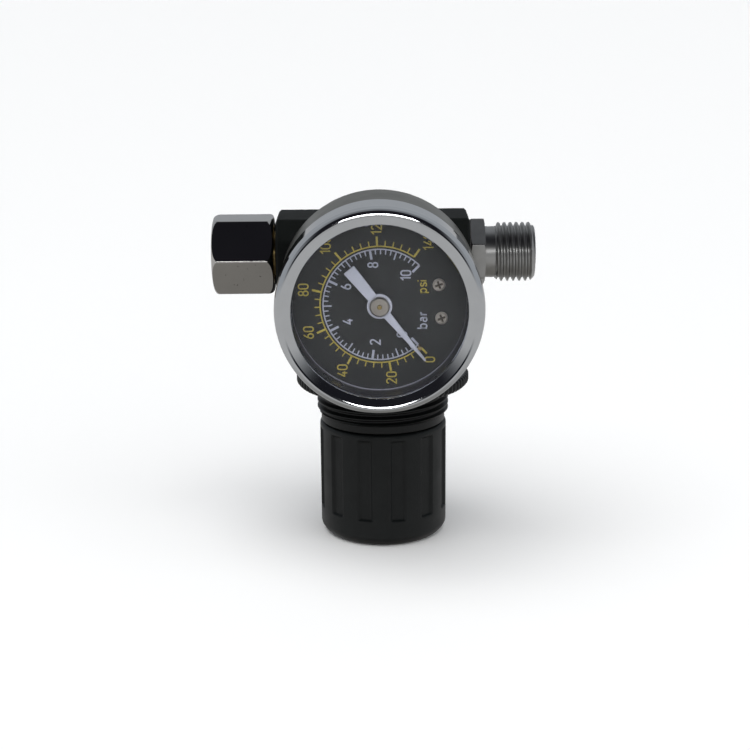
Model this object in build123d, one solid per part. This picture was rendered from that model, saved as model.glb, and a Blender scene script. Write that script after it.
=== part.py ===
from build123d import *
import math
import os

# Small compressed-air pressure regulator with a built-in gauge.
# Frame: millimetres, +Z up, origin at the centre of the adjusting knob's flat end face.
# The adjusting axis is Z. The ports lie along X: inlet swivel nut at -X, outlet nipple at +X.
# The gauge looks along -Y. Threads are plain cylinders: male at the major, female at the minor size.

# ---- driving dimensions ----------------------------------------------------------------------
PORT_Z = 65.0             # height of the port axis above the knob's end face
THREAD_GAP = 0.02         # radial gap between a screwed-in thread and its tapped hole
RUNNING = 0.05            # radial running clearance
G14_MAJOR_R = 6.578       # G 1/4 thread, major radius
G14_MINOR_R = 5.7225      # G 1/4 thread, minor radius
G18_MAJOR_R = 4.864       # G 1/8 thread, major radius

BODY_LEFT, BODY_RIGHT = -23.1, 19.2
BODY_HALF_DEPTH = 11.0
BODY_TOP, BODY_BOTTOM = 73.8, 52.5
BODY_SHOULDER = 4.0       # width and height of the sloped shoulders on top
BARREL_R = 10.7
FLANGE_R, FLANGE_Z0, FLANGE_Z1 = 17.5, 38.5, 42.0
FLANGE_FLAT_Y = -12.2     # the panel flange is cut flat behind the gauge
SKIRT_R, SKIRT_Z = 12.0, 35.5
CHAMBER_R = 5.0           # high-pressure valve chamber
SEAT_Z = 50.0

PANEL_THREAD_R = 15.0     # M30 x 1.5
THREAD_Z0, THREAD_Z1 = 28.4, 38.3
NUT_ZONE_Z = 34.9         # the panel nut's stretch of thread starts here
COLLAR_R, COLLAR_Z = 14.1, 26.7
NECK_R, NECK_Z = 12.0, 9.5
SPRING_BORE_R = 9.6
BONNET_FLOOR_Z = 12.5
LEDGE_Z = 34.5

RING_NUT_R, RING_NUT_Z0, RING_NUT_Z1 = 19.6, 35.0, 37.8
WASHER_Z0, WASHER_Z1 = 37.85, 38.35

KNOB_R, KNOB_TOP = 14.45, 26.5
KNOB_CAVITY_R = 12.3
KNOB_BAND_Z, KNOB_RIB_TOP = 6.2, 25.2
KNOB_RIBS = 12
KNOB_GROOVE_DEG = 13.5
KNOB_GROOVE_DEPTH = 0.55
KNOB_RIB_AT_DEG = -92.0   # one rib faces the front, a little to the left

SCREW_R = 4.0             # M8 x 1.25 left-hand adjusting thread
SHANK_R = 3.5
DRIVE_AF = 6.0

NUT_LEFT, NUT_RIGHT = -37.5, -23.8
NUT_AF = 16.4
NUT_THREAD_X0, NUT_THREAD_X1 = -36.9, -31.4
NUT_TURN_DEG = 30.0       # flats at the top and bottom
NIPPLE_HEX_AF = 13.5
NIPPLE_TURN_DEG = 8.0     # where the nipple's hexagon stops when it is tight
NIPPLE_THREAD_X0, NIPPLE_THREAD_X1 = 25.95, 33.2
NIPPLE_END = 33.95

GAUGE_X, GAUGE_Z = -0.66, 60.0
CASE_R, CASE_BACK_Y, CASE_FRONT_Y = 21.36, -12.6, -27.8
CASE_WALL = 1.0
BEZEL_R, BEZEL_FRONT_Y, APERTURE_R = 21.47, -38.9, 17.83
LENS_R, LENS_FRONT_Y, LENS_T = 20.85, -37.95, 1.35
GASKET_R = 18.0           # bore of the black sleeve between dial and lens
DIAL_Y = -30.9
DIAL_T = 0.5
POINTER_Y, POINTER_T = -32.0, 0.5
POINTER_REST_DEG = -51.0
POINTER_REACH, POINTER_TAIL = 14.9, 9.9

FRONT_PLATE_Y, BACK_PLATE_Y, PLATE_T = -28.2, -24.0, 0.6
GEAR_MODULE = 0.22
PINION_TEETH, SECTOR_TEETH = 10, 90
GEAR_DISTANCE = GEAR_MODULE * (PINION_TEETH + SECTOR_TEETH) / 2
SECTOR_Y, SECTOR_T = -26.3, 0.6
TUBE_R, TUBE_Y0, TUBE_Y1, TUBE_T = 14.5, -16.5, -21.5, 1.8
TUBE_FROM_DEG, TUBE_SWEEP_DEG = -107.3, -277.7
TAIL_R, TAIL_DEG = 5.0, -15.0

MIN3 = (Align.CENTER, Align.CENTER, Align.MIN)


# ---- helpers ---------------------------------------------------------------------------------
def turned(points):
    """Solid of revolution about Z from (radius, height) points."""
    profile = make_face(Plane.XZ * Polyline([(r, h) for r, h in points], close=True))
    return revolve(profile, Axis.Z)


def rod(radius, z0, z1):
    return Pos(0, 0, z0) * Cylinder(radius, z1 - z0, align=MIN3)


def ring(r_out, r_in, z0, z1):
    return rod(r_out, z0, z1) - rod(r_in, z0 - 1, z1 + 1)


def hexagon(across_flats, z0, z1, turn=0.0):
    outline = Rot(0, 0, turn) * RegularPolygon(across_flats / 2, 6, major_radius=False)
    return Pos(0, 0, z0) * extrude(outline, z1 - z0)


def on_port_axis(shape):
    """Local Z becomes +X, on the port axis; local -X becomes +Z."""
    return Pos(0, 0, PORT_Z) * Rot(0, 90, 0) * shape


def along_y(shape, x=GAUGE_X, z=GAUGE_Z):
    """Local Z becomes +Y, so heights are Y values."""
    return Pos(x, 0, z) * Rot(-90, 0, 0) * shape


def dial_frame(y):
    """Frame on the gauge axis at depth y: local Z towards the reader, local Y up."""
    return Plane(origin=(GAUGE_X, y, GAUGE_Z), x_dir=(1, 0, 0), z_dir=(0, -1, 0)).location


def movement_frame(y):
    """As dial_frame, turned a quarter so that the movement's foot points to +X."""
    return dial_frame(y) * Rot(0, 0, 90)


def polar(radius, degrees):
    a = math.radians(degrees)
    return radius * math.cos(a), radius * math.sin(a)


def coil_spring(mean_r, wire_r, z0, z1, turns):
    """Helical spring whose wire lies between heights z0 and z1."""
    height = z1 - z0 - 2 * wire_r
    path = Helix(pitch=height / turns, height=height, radius=mean_r)
    start = path @ 0
    section = Plane(origin=start, z_dir=path % 0) * Circle(wire_r)
    return Pos(0, 0, z0 + wire_r) * sweep(section, path=path)


def save(shape, name):
    export_step(shape, "parts/" + name + ".step")


# ---- regulator body --------------------------------------------------------------------------
def body():
    half, s = BODY_HALF_DEPTH, BODY_SHOULDER
    outline = Polyline([(-half, BODY_BOTTOM), (half, BODY_BOTTOM), (half, BODY_TOP - s),
                        (half - s, BODY_TOP), (-half + s, BODY_TOP), (-half, BODY_TOP - s)],
                       close=True)
    section = make_face(Plane.YZ * outline)
    block = Pos(BODY_LEFT, 0, 0) * extrude(section, BODY_RIGHT - BODY_LEFT, dir=(1, 0, 0))
    block = fillet([e for e in block.edges().filter_by(Axis.X) if e.center().Z > PORT_Z], 1.2)
    block = chamfer(block.faces().sort_by(Axis.X)[0].edges(), 0.5)
    block = chamfer(block.faces().sort_by(Axis.X)[-1].edges(), 0.5)
    flange = rod(FLANGE_R, FLANGE_Z0, FLANGE_Z1)
    flange = chamfer(flange.faces().sort_by(Axis.Z)[-1].edges(), 0.6)
    flange -= Pos(0, FLANGE_FLAT_Y, FLANGE_Z0 - 1) * Box(40, 20, 10, align=(Align.CENTER, Align.MAX, Align.MIN))
    solid = block + rod(BARREL_R, FLANGE_Z0, BODY_BOTTOM + 2) + flange
    solid += rod(SKIRT_R - THREAD_GAP, SKIRT_Z, FLANGE_Z0)
    solid -= rod(9.8, SKIRT_Z - 1, 40.0)                       # low-pressure chamber
    solid -= rod(2.4, 39.0, SEAT_Z + 1)                        # stem bore
    solid -= rod(CHAMBER_R, SEAT_Z, 69.0)
    solid -= rod(6.5, 68.0, BODY_TOP + 1)                      # valve plug thread
    solid -= on_port_axis(rod(G14_MAJOR_R, BODY_LEFT - 1, -13.1))
    solid -= on_port_axis(rod(2.8, -14.0, -2.0))               # inlet bore
    solid -= on_port_axis(rod(G14_MAJOR_R, 9.6, BODY_RIGHT + 1))
    solid -= on_port_axis(rod(4.0, 6.4, 10.0))
    solid -= Pos(8.1, 0, 0) * rod(1.4, 39.0, PORT_Z - 1)       # outlet passage
    for side in (-1, 1):
        y0, y1 = sorted((side * 6.2, side * (half + 3)))
        solid -= along_y(rod(G18_MAJOR_R, y0, y1))
        solid -= Pos(GAUGE_X, side * 8.6, 0) * rod(0.9, 39.0, GAUGE_Z - 1)
    return solid


def valve_seat():
    return turned([(2.4, SEAT_Z), (CHAMBER_R - THREAD_GAP, SEAT_Z), (CHAMBER_R - THREAD_GAP, 51.4),
                   (3.3, 51.4), (3.0, 52.0), (2.4, 52.0)])


def valve_plug():
    solid = turned([(1.7, 58.0), (3.9, 58.0), (3.9, 68.0), (6.48, 68.0), (6.48, 68.6), (5.2, 68.6),
                    (5.2, 70.0), (6.48, 70.0), (6.48, 73.4), (6.08, 73.8), (0, 73.8), (0, 64.0),
                    (1.7, 64.0)])
    return solid - hexagon(5.0, 71.6, BODY_TOP + 1)


def valve_poppet():
    return turned([(0, 35.75), (0.5, 35.75), (1.2, 36.6), (1.2, 53.0), (3.9, 53.0), (3.9, 54.4),
                   (1.6, 54.4), (1.6, 60.2), (1.2, 60.6), (0, 60.6)])


def port_washer():
    """Flat ring between the nipple's hexagon and the body."""
    return on_port_axis(ring(7.3, G14_MAJOR_R + RUNNING, BODY_RIGHT, 19.64))


def rear_plug():
    solid = turned([(0, 6.7), (G18_MAJOR_R - THREAD_GAP, 6.7), (G18_MAJOR_R - THREAD_GAP, 11.8),
                    (7.0, 11.8), (7.0, 13.4), (6.6, 13.8), (0, 13.8)])
    return along_y(solid - hexagon(5.0, 10.4, 15.0))


# ---- ports -----------------------------------------------------------------------------------
def inlet_tailpiece():
    return on_port_axis(turned([
        (2.8, -31.2), (3.9, -31.2), (5.0, -30.0), (5.0, -28.35), (4.7, -28.35), (4.7, -27.25),
        (5.0, -27.25), (5.0, -23.65), (6.2, -23.4), (G14_MAJOR_R - THREAD_GAP, -23.2),
        (G14_MAJOR_R - THREAD_GAP, -14.4), (6.1, -13.9), (2.8, -13.9)]))


def nut_retaining_ring():
    return on_port_axis(Pos(0, 0, -27.8) * Torus(5.2, 0.5))


def swivel_nut():
    """Hexagon nut with domed ends, free to turn on the tailpiece."""
    envelope = turned([(0, NUT_LEFT), (6.9, NUT_LEFT), (7.9, NUT_LEFT + 0.6), (9.3, NUT_LEFT + 2.1),
                       (9.3, NUT_RIGHT - 2.1), (7.9, NUT_RIGHT - 0.6), (6.9, NUT_RIGHT),
                       (0, NUT_RIGHT)])
    solid = hexagon(NUT_AF, NUT_LEFT, NUT_RIGHT, NUT_TURN_DEG) & envelope
    bore = turned([(0, NUT_LEFT - 1), (6.5, NUT_LEFT - 1), (6.5, NUT_LEFT), (G14_MINOR_R, NUT_THREAD_X0),
                   (G14_MINOR_R, NUT_THREAD_X1), (6.2, NUT_THREAD_X1), (6.2, -26.6), (5.05, -26.6),
                   (5.05, NUT_RIGHT + 1), (0, NUT_RIGHT + 1)])
    return on_port_axis(solid - bore)


def outlet_nipple():
    turned_part = turned([
        (4.0, 10.2), (6.1, 10.2), (G14_MAJOR_R - THREAD_GAP, 10.7),
        (G14_MAJOR_R - THREAD_GAP, 19.64), (5.67, 19.64), (5.67, 25.3), (5.8, 25.3),
        (G14_MAJOR_R, NIPPLE_THREAD_X0), (G14_MAJOR_R, NIPPLE_THREAD_X1), (5.8, NIPPLE_END),
        (5.3, NIPPLE_END), (4.0, NIPPLE_END - 2.4)])
    envelope = turned([(0, 19.64), (7.0, 19.64), (7.65, 20.1), (7.65, 22.4), (7.0, 22.87), (0, 22.87)])
    hexagon_part = hexagon(NIPPLE_HEX_AF, 19.64, 22.87, NIPPLE_TURN_DEG) & envelope
    hexagon_part -= rod(5.0, 19.0, 23.5)
    return on_port_axis(turned_part + hexagon_part)


# ---- bonnet and panel nut --------------------------------------------------------------------
def bonnet():
    """Spring housing: neck under the knob, collar and panel thread in one piece."""
    nut_zone_r = PANEL_THREAD_R - RUNNING
    solid = turned([
        (3.55, NECK_Z), (11.5, NECK_Z), (NECK_R, 10.0), (NECK_R, 21.3), (10.8, 21.3), (10.8, 22.7),
        (NECK_R, 22.7), (NECK_R, COLLAR_Z), (COLLAR_R, COLLAR_Z), (COLLAR_R, THREAD_Z0),
        (PANEL_THREAD_R, 29.3), (PANEL_THREAD_R, NUT_ZONE_Z), (nut_zone_r, NUT_ZONE_Z),
        (nut_zone_r, THREAD_Z1), (SKIRT_R, THREAD_Z1), (SKIRT_R, LEDGE_Z), (SPRING_BORE_R, LEDGE_Z),
        (SPRING_BORE_R, BONNET_FLOOR_Z), (3.55, BONNET_FLOOR_Z)])
    keyways = Pos(0, 0, 15.0) * Box(21.8, 4.2, LEDGE_Z - 15.0, align=MIN3) & rod(10.9, 14.0, 36.0)
    return solid - keyways


def ring_nut():
    solid = turned([
        (PANEL_THREAD_R + RUNNING, RING_NUT_Z0 + 0.4), (PANEL_THREAD_R + 0.45, RING_NUT_Z0),
        (18.95, RING_NUT_Z0), (RING_NUT_R, RING_NUT_Z0 + 0.7), (RING_NUT_R, RING_NUT_Z1 - 0.5),
        (19.1, RING_NUT_Z1), (PANEL_THREAD_R + RUNNING, RING_NUT_Z1)])
    return solid


# ---- adjusting gear --------------------------------------------------------------------------
def knob():
    shell = turned([
        (0, 0), (13.05, 0), (13.85, 0.25), (14.3, 0.8), (KNOB_R, 1.5), (KNOB_R, 25.9),
        (13.9, KNOB_TOP), (KNOB_CAVITY_R, KNOB_TOP), (KNOB_CAVITY_R, 2.6), (0, 2.6)])
    shell += rod(5.6, 2.0, 8.2)
    socket = hexagon(DRIVE_AF + 0.2, 1.6, 9.0)
    groove = Rectangle(2 * KNOB_GROOVE_DEPTH, 2 * KNOB_R * math.sin(math.radians(KNOB_GROOVE_DEG / 2)))
    groove = Pos(KNOB_R, 0, KNOB_BAND_Z) * extrude(groove, KNOB_RIB_TOP - KNOB_BAND_Z)
    pitch = 360.0 / KNOB_RIBS
    grooves = [Rot(0, 0, KNOB_RIB_AT_DEG + pitch * (i + 0.5)) * groove for i in range(KNOB_RIBS)]
    return shell - socket - grooves


def adjusting_screw():
    drive = hexagon(DRIVE_AF, 2.6, 8.4) & rod(SHANK_R - 0.1, 2.0, 9.0)
    spindle = turned([
        (0, 8.4), (SHANK_R, 8.4), (SHANK_R, 8.7), (3.0, 8.7), (3.0, 9.3), (SHANK_R, 9.3),
        (SHANK_R, 13.15), (6.5, 13.15), (6.5, 14.5), (SCREW_R - 0.7, 14.5), (SCREW_R - 0.7, 15.6),
        (SCREW_R, 16.2), (SCREW_R, 27.8), (3.3, 28.5), (0, 28.5)])
    return drive + spindle


def screw_clip():
    clip = ring(4.6, 3.0, 8.72, 9.28)
    return clip - Pos(2.0, 0, 8.0) * Box(6.0, 2.6, 2.0, align=(Align.MIN, Align.CENTER, Align.MIN))


def adjusting_nut():
    """Spring seat that climbs the screw; its ears slide in the bonnet's keyways."""
    flange = rod(9.0, 17.0, 18.7)
    ears = Pos(0, 0, 17.0) * Box(21.4, 4.0, 1.7, align=MIN3) & rod(10.7, 16.0, 20.0)
    return flange + ears + rod(5.4, 17.0, 22.7) - rod(SCREW_R + RUNNING, 16.0, 24.0)


# ---- diaphragm -------------------------------------------------------------------------------
def diaphragm():
    return turned([
        (2.0, 33.9), (8.5, 33.9), (9.3, 34.5), (11.9, 34.5), (11.9, 35.5), (9.7, 35.5),
        (8.9, 35.2), (8.3, 34.7), (2.0, 34.7)])


def diaphragm_plate():
    return turned([
        (2.0, 33.0), (4.9, 33.0), (5.1, 32.0), (6.1, 32.0), (6.3, 33.0), (8.4, 33.0), (8.4, 33.9),
        (2.0, 33.9)])


def relief_seat():
    return turned([
        (0.7, 32.2), (2.6, 32.2), (2.9, 33.0), (2.0, 33.0), (2.0, 34.7), (4.5, 34.7), (4.5, 35.4),
        (4.2, 35.7), (0.7, 35.7)])


# ---- gauge housing ---------------------------------------------------------------------------
def gauge_case():
    profile = [(5.7, CASE_BACK_Y), (20.4, CASE_BACK_Y), (CASE_R, CASE_BACK_Y - 0.8),
               (CASE_R, CASE_FRONT_Y), (20.9, CASE_FRONT_Y), (20.9, -33.0), (20.4, -33.0),
               (20.4, CASE_BACK_Y - CASE_WALL), (5.7, CASE_BACK_Y - CASE_WALL)]
    solid = along_y(turned(profile))
    for side in (-1, 1):
        solid -= movement_frame(CASE_BACK_Y + 1) * Pos(side * 2.6, -10.5, 0) * Cylinder(0.85, 8)
    return solid


def bezel():
    """Rolled front ring: round outer edge, slightly dished front lip."""
    front = BEZEL_FRONT_Y
    outline = [
        Line((20.95, CASE_FRONT_Y), (BEZEL_R, CASE_FRONT_Y)),
        Line((BEZEL_R, CASE_FRONT_Y), (BEZEL_R, front + 1.0)),
        ThreePointArc((BEZEL_R, front + 1.0), (21.05, front + 0.27), (19.9, front)),
        Line((19.9, front), (APERTURE_R, front + 0.45)),
        Line((APERTURE_R, front + 0.45), (APERTURE_R, LENS_FRONT_Y)),
        Line((APERTURE_R, LENS_FRONT_Y), (20.95, LENS_FRONT_Y)),
        Line((20.95, LENS_FRONT_Y), (20.95, CASE_FRONT_Y))]
    return along_y(revolve(make_face(Plane.XZ * Curve(outline)), Axis.Z))


def lens():
    return along_y(rod(LENS_R, LENS_FRONT_Y, LENS_FRONT_Y + LENS_T))


def lens_gasket():
    front = LENS_FRONT_Y + LENS_T
    return along_y(turned([(GASKET_R, -31.0), (20.35, -31.0), (20.35, -33.05), (20.9, -33.05),
                           (20.9, front), (GASKET_R, front)]))


def dial():
    disc = dial_frame(DIAL_Y + DIAL_T) * Cylinder(20.0, DIAL_T, align=MIN3)
    holes = [Pos(u, v, 0) * Cylinder(0.66, 3) for u, v in DIAL_SCREWS]
    holes += [Pos(*STOP_PIN, 0) * Cylinder(0.41, 3), Cylinder(1.7, 3)]
    return disc - [dial_frame(DIAL_Y) * hole for hole in holes]


DIAL_SCREWS = [(12.24, 4.13), (12.79, -2.88)]
STOP_PIN = polar(12.1, -46.8)


def dial_screws():
    """Two small pan-head screws with a cross recess."""
    screws = []
    for u, v in DIAL_SCREWS:
        head = Cylinder(1.3, 0.55, align=MIN3)
        head = fillet(head.faces().sort_by(Axis.Z)[-1].edges(), 0.3)
        slot = Pos(0, 0, 0.3) * (Box(1.5, 0.32, 0.5, align=MIN3) + Box(0.32, 1.5, 0.5, align=MIN3))
        shank = Pos(0, 0, -2.6) * Cylinder(0.6, 2.6, align=MIN3)
        screws.append(dial_frame(DIAL_Y) * Pos(u, v, 0) * Rot(0, 0, 20) * (head + shank - slot))
    return Compound(children=screws)


def stop_pin():
    return dial_frame(DIAL_Y + DIAL_T) * Pos(*STOP_PIN, 0) * Cylinder(0.4, 2.6, align=MIN3)


def pointer():
    """Blade with a hub ring, a tapered index and a broad counterweight tail."""
    half_root, half_tip, tail_root, tail_end = 0.95, 0.22, 0.95, 1.33
    blade = Polygon([(0, -half_root), (POINTER_REACH, -half_tip), (POINTER_REACH, half_tip),
                     (0, half_root)], align=None)
    tail = Polygon([(0, -tail_root), (0, tail_root), (-POINTER_TAIL, tail_end),
                    (-POINTER_TAIL, -tail_end)], align=None)
    outline = blade + tail + Circle(2.6) - Circle(1.25)
    return dial_frame(POINTER_Y) * Rot(0, 0, POINTER_REST_DEG) * extrude(outline, POINTER_T)


def pointer_hub():
    bush = turned([(0.46, -0.5), (1.2, -0.5), (1.2, POINTER_T), (2.1, POINTER_T), (2.1, 1.1),
                   (1.8, 1.35), (0.46, 1.35)])
    return dial_frame(POINTER_Y) * bush


# ---- gauge movement --------------------------------------------------------------------------
PILLARS = [(0, 3.6), (-3.6, -9.5), (3.4, -14.6)]
SECTOR_AT = (0, -GEAR_DISTANCE)
TAIL_AT = (TAIL_R * math.cos(math.radians(TAIL_DEG)),
           -GEAR_DISTANCE + TAIL_R * math.sin(math.radians(TAIL_DEG)))
TUBE_TIP = polar(TUBE_R, TUBE_FROM_DEG + TUBE_SWEEP_DEG)
CASE_SCREWS = [(-2.6, -10.5), (2.6, -10.5)]


def plate_outline():
    outline = Pos(0.2, -5.8) * RectangleRounded(11.0, 22.0, 2.0)
    outline -= Circle(0.5)
    outline -= Pos(*SECTOR_AT) * Circle(0.65)
    for place in PILLARS:
        outline -= Pos(*place) * Circle(0.5)
    return outline


def front_plate():
    plate = movement_frame(FRONT_PLATE_Y) * extrude(plate_outline(), PLATE_T)
    post_h = -(DIAL_Y + DIAL_T) + FRONT_PLATE_Y - PLATE_T
    for u, v in DIAL_SCREWS:
        foot = dial_frame(FRONT_PLATE_Y) * Pos(u, v, 0) * Cylinder(1.7, PLATE_T, align=MIN3)
        post = dial_frame(FRONT_PLATE_Y - PLATE_T) * Pos(u, v, 0) * Cylinder(1.2, post_h, align=MIN3)
        bore = dial_frame(FRONT_PLATE_Y + 1) * Pos(u, v, 0) * Cylinder(0.61, 6, align=MIN3)
        plate = plate + foot + post - bore
    return plate


def back_plate():
    return movement_frame(BACK_PLATE_Y) * extrude(plate_outline(), PLATE_T)


def movement_pillars():
    start = BACK_PLATE_Y - PLATE_T
    height = start - FRONT_PLATE_Y
    column = Cylinder(0.8, height, align=MIN3) - Cylinder(0.49, 3 * height)
    return Compound(children=[movement_frame(start) * Pos(x, y, 0) * column for x, y in PILLARS])


def movement_screws():
    length = BACK_PLATE_Y - FRONT_PLATE_Y + PLATE_T + 1.5
    shank = Cylinder(0.48, length, align=MIN3)
    head = Pos(0, 0, length) * Cylinder(0.9, 0.5, align=MIN3)
    slot = Pos(0, 0, length + 0.3) * Box(2.0, 0.25, 0.4, align=MIN3)
    screw = Pos(0, 0, -1.5) * (head + shank - slot)
    return Compound(children=[movement_frame(BACK_PLATE_Y) * Pos(x, y, 0) * screw for x, y in PILLARS])


def tooth(root_r, tip_r, root_w, tip_w):
    return Polygon([(root_r - 0.12, -root_w / 2), (tip_r, -tip_w / 2), (tip_r, tip_w / 2),
                    (root_r - 0.12, root_w / 2)], align=None)


def pinion():
    """Pointer shaft and its gear in one piece."""
    root_r, tip_r = 0.80, 1.25
    gear = Circle(root_r)
    for i in range(PINION_TEETH):
        gear += Rot(0, 0, -90 + 360 / PINION_TEETH * i) * tooth(root_r, tip_r, 0.34, 0.10)
    gear = movement_frame(SECTOR_Y + 0.3) * extrude(gear, SECTOR_T + 0.6)
    shaft_start = BACK_PLATE_Y - 0.1
    shaft = movement_frame(shaft_start) * Cylinder(0.45, shaft_start + 33.45, align=MIN3)
    return gear + shaft


def sector_gear():
    root_r, tip_r = 9.60, 10.06
    first, last = -36.0, 4.0                     # toothed arc, degrees from the line of centres
    span = last - first
    band = Circle(root_r) - Circle(8.3)
    wedge = Polygon([(0, 0)] + [polar(14, 90 + first + span * i / 4) for i in range(5)], align=None)
    profile = band & wedge
    step = 360 / SECTOR_TEETH
    for i in range(int(span / step)):
        profile += Rot(0, 0, 90 + first + step * (i + 0.5)) * tooth(root_r, tip_r, 0.36, 0.11)
    spoke = Rot(0, 0, 90 + (first + last) / 2) * Pos(4.4, 0) * Rectangle(8.6, 2.0)
    tail = Rot(0, 0, TAIL_DEG) * (Pos(TAIL_R / 2, 0) * Rectangle(TAIL_R, 1.5) + Pos(TAIL_R, 0) * Circle(0.9))
    profile = profile + spoke + tail + Circle(1.7)
    profile = profile - Circle(0.6) - Rot(0, 0, TAIL_DEG) * Pos(TAIL_R, 0) * Circle(0.4)
    return movement_frame(SECTOR_Y) * Pos(*SECTOR_AT, 0) * extrude(profile, SECTOR_T)


def sector_arbor():
    start = BACK_PLATE_Y - 0.1
    return movement_frame(start) * Pos(*SECTOR_AT, 0) * Cylinder(0.6, start - FRONT_PLATE_Y + 0.5, align=MIN3)


def link():
    """Flat link with a pin at each end; the outer pin stops short of the tube's end piece."""
    dx, dy = TUBE_TIP[0] - TAIL_AT[0], TUBE_TIP[1] - TAIL_AT[1]
    length, turn = math.hypot(dx, dy), math.degrees(math.atan2(dy, dx))
    bar = Pos(length / 2, 0) * Rectangle(length, 0.8) + Circle(0.8) + Pos(length, 0) * Circle(0.8)
    bar_y = SECTOR_Y + 0.65
    flat = movement_frame(bar_y) * Pos(*TAIL_AT, 0) * Rot(0, 0, turn) * extrude(bar, 0.5)
    inner = movement_frame(bar_y) * Pos(*TAIL_AT, 0) * Cylinder(0.35, bar_y - SECTOR_Y + 0.65, align=MIN3)
    outer_start = TUBE_Y1 - 0.9
    outer = movement_frame(outer_start) * Pos(*TUBE_TIP, 0) * Cylinder(0.4, outer_start - bar_y, align=MIN3)
    return flat + inner + outer


def hairspring():
    """Flat spiral between the pointer shaft and a pillar, drawn as joined half circles."""
    spiral, radius, side = None, 1.15, 1
    centre = 0.0
    for _ in range(7):
        half = (Circle(radius + 0.06) - Circle(radius - 0.06)) & Pos(0, side * 5) * Rectangle(12, 10)
        half = Pos(centre, 0) * half
        spiral = half if spiral is None else spiral + half
        centre, radius, side = centre + side * 0.09, radius + 0.09, -side
    collet = Circle(1.22) - Circle(0.46)
    return movement_frame(FRONT_PLATE_Y + 0.55) * extrude(spiral + collet, 0.35)


def bourdon_tube():
    """C-shaped flattened tube about the gauge axis."""
    width = TUBE_Y0 - TUBE_Y1
    section = RectangleRounded(TUBE_T, width, 0.85) - RectangleRounded(TUBE_T - 0.7, width - 0.7, 0.5)
    section = Plane.XZ * Pos(TUBE_R, 0) * section
    bent = revolve(section, Axis.Z, TUBE_SWEEP_DEG)
    return movement_frame((TUBE_Y0 + TUBE_Y1) / 2) * Rot(0, 0, TUBE_FROM_DEG) * bent


def tube_end():
    """Soldered end piece of the tube, with the lug that the link pulls on."""
    block = Box(TUBE_T + 0.8, 2.4, TUBE_Y0 - TUBE_Y1 + 0.6, align=(Align.CENTER, Align.MAX, Align.CENTER))
    angle = TUBE_FROM_DEG + TUBE_SWEEP_DEG
    return movement_frame((TUBE_Y0 + TUBE_Y1) / 2) * Rot(0, 0, angle) * Pos(TUBE_R, 0, 0) * block


def gauge_socket():
    """Block that holds the tube and the movement, with the threaded stem to the body."""
    floor_y = CASE_BACK_Y - CASE_WALL
    block = Pos(0, -6.1, 0) * Box(8.0, 20.2, floor_y - BACK_PLATE_Y, align=MIN3)
    solid = movement_frame(floor_y) * block
    flats = along_y(Pos(0, 0, -14.4) * Box(9.6, 12.0, 2.6, align=MIN3))
    solid += along_y(rod(5.6, -14.4, -11.8)) & flats
    solid += along_y(rod(G18_MAJOR_R - THREAD_GAP, -11.9, -6.7))
    solid -= along_y(rod(1.5, -20.0, -6.0))
    solid -= movement_frame(-19.0) * Pos(0, -12.6, 0) * Rot(90, 0, 0) * Cylinder(0.8, 12.7, align=(
        Align.CENTER, Align.CENTER, Align.CENTER))
    for x, y in CASE_SCREWS:
        solid -= movement_frame(CASE_BACK_Y) * Pos(x, y, 0) * Cylinder(0.8, 12)
    for x, y in PILLARS:
        solid -= movement_frame(BACK_PLATE_Y + 1.6) * Pos(x, y, 0) * Cylinder(0.5, 3, align=MIN3)
    return solid


def case_screws():
    screw = Pos(0, 0, -0.8) * Cylinder(1.5, 0.8, align=MIN3) + Cylinder(0.79, 5.0, align=MIN3)
    screw -= Pos(0, 0, -1.0) * Box(3.4, 0.4, 0.6, align=MIN3)
    return Compound(children=[movement_frame(CASE_BACK_Y) * Pos(x, y, 0) * screw for x, y in CASE_SCREWS])


# ---- write every piece -----------------------------------------------------------------------
os.makedirs("parts", exist_ok=True)

save(body(), "body")
save(valve_seat(), "valve_seat")
save(valve_plug(), "valve_plug")
save(Pos(0, 0, 69.3) * Torus(5.85, 0.64), "valve_plug_seal")
save(valve_poppet(), "valve_poppet")
save(ring(3.8, 1.2, 52.05, 53.0), "valve_pad")
save(coil_spring(2.9, 0.3, 54.4, 58.0, 4), "valve_spring")
save(rear_plug(), "rear_plug")
save(along_y(ring(6.8, 4.95, 11.0, 11.8)), "rear_plug_washer")
save(along_y(ring(6.8, 4.95, -11.8, -11.0)), "gauge_washer")

save(inlet_tailpiece(), "inlet_tailpiece")
save(nut_retaining_ring(), "nut_retaining_ring")
save(swivel_nut(), "swivel_nut")
save(outlet_nipple(), "outlet_nipple")
save(port_washer(), "outlet_washer")

save(bonnet(), "bonnet")
save(ring_nut(), "ring_nut")
save(ring(18.0, PANEL_THREAD_R + 0.1, WASHER_Z0, WASHER_Z1), "panel_washer")

save(knob(), "knob")
save(adjusting_screw(), "adjusting_screw")
save(screw_clip(), "screw_clip")
save(ring(7.5, SHANK_R + 0.1, 12.5, 13.1), "thrust_washer")
save(adjusting_nut(), "adjusting_nut")
save(coil_spring(7.4, 0.85, 18.7, 33.0, 5), "main_spring")
save(Pos(0, 0, 22.0) * Torus(11.5, 0.69), "knob_friction_ring")

save(diaphragm(), "diaphragm")
save(diaphragm_plate(), "diaphragm_plate")
save(relief_seat(), "relief_seat")

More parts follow.
